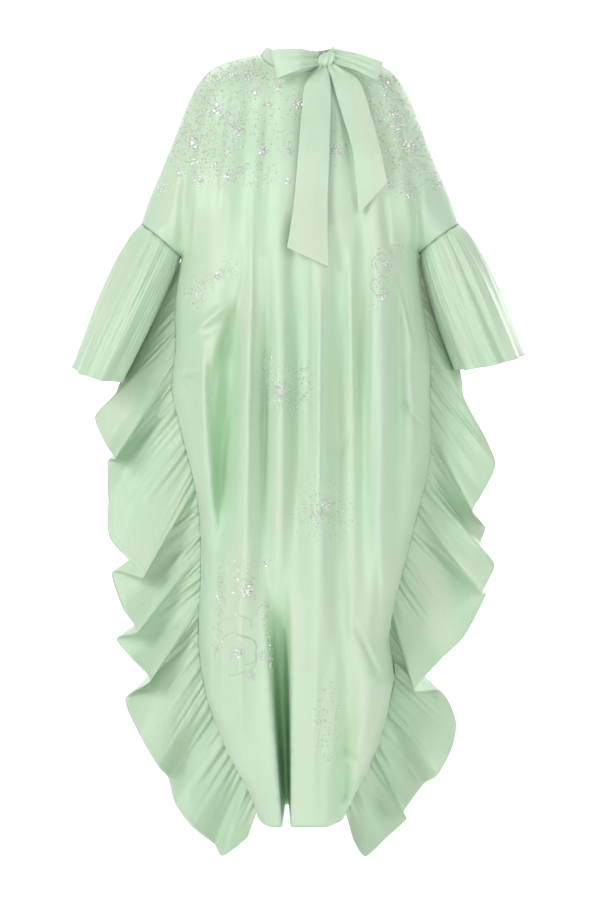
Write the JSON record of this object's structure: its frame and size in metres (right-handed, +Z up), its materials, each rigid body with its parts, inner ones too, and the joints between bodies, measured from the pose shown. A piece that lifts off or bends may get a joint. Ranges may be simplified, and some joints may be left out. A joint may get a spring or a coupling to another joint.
{
  "type": "kaftan",
  "caption": "Full-length hollow kaftan in its worn shape, with batwing sleeves, gathered sleeve flounces, side ruffles and a tie-neck bow.",
  "frame": {"origin": "middle of the neck opening at the height of the shoulder points, where the wearer's neck and shoulders hold the kaftan", "axes": "+Z up along the wearer's body, -Y towards the front of the kaftan, +X towards the right in a view from the front"},
  "size_m": [0.8676, 0.2962, 1.5482],
  "materials": {
    "cloth": "satin taffeta, soft sheen",
    "tie_cloth": "satin taffeta, soft sheen"
  },
  "bodies": {
    "root": {"front": "cloth", "back": "cloth", "left_flounce": "cloth", "right_flounce": "cloth", "left_ruffle": "cloth", "right_ruffle": "cloth", "collar": "tie_cloth", "knot": "tie_cloth", "left_loop": "tie_cloth", "right_loop": "tie_cloth", "left_tail": "tie_cloth", "right_tail": "tie_cloth"}
  },
  "joints": []
}
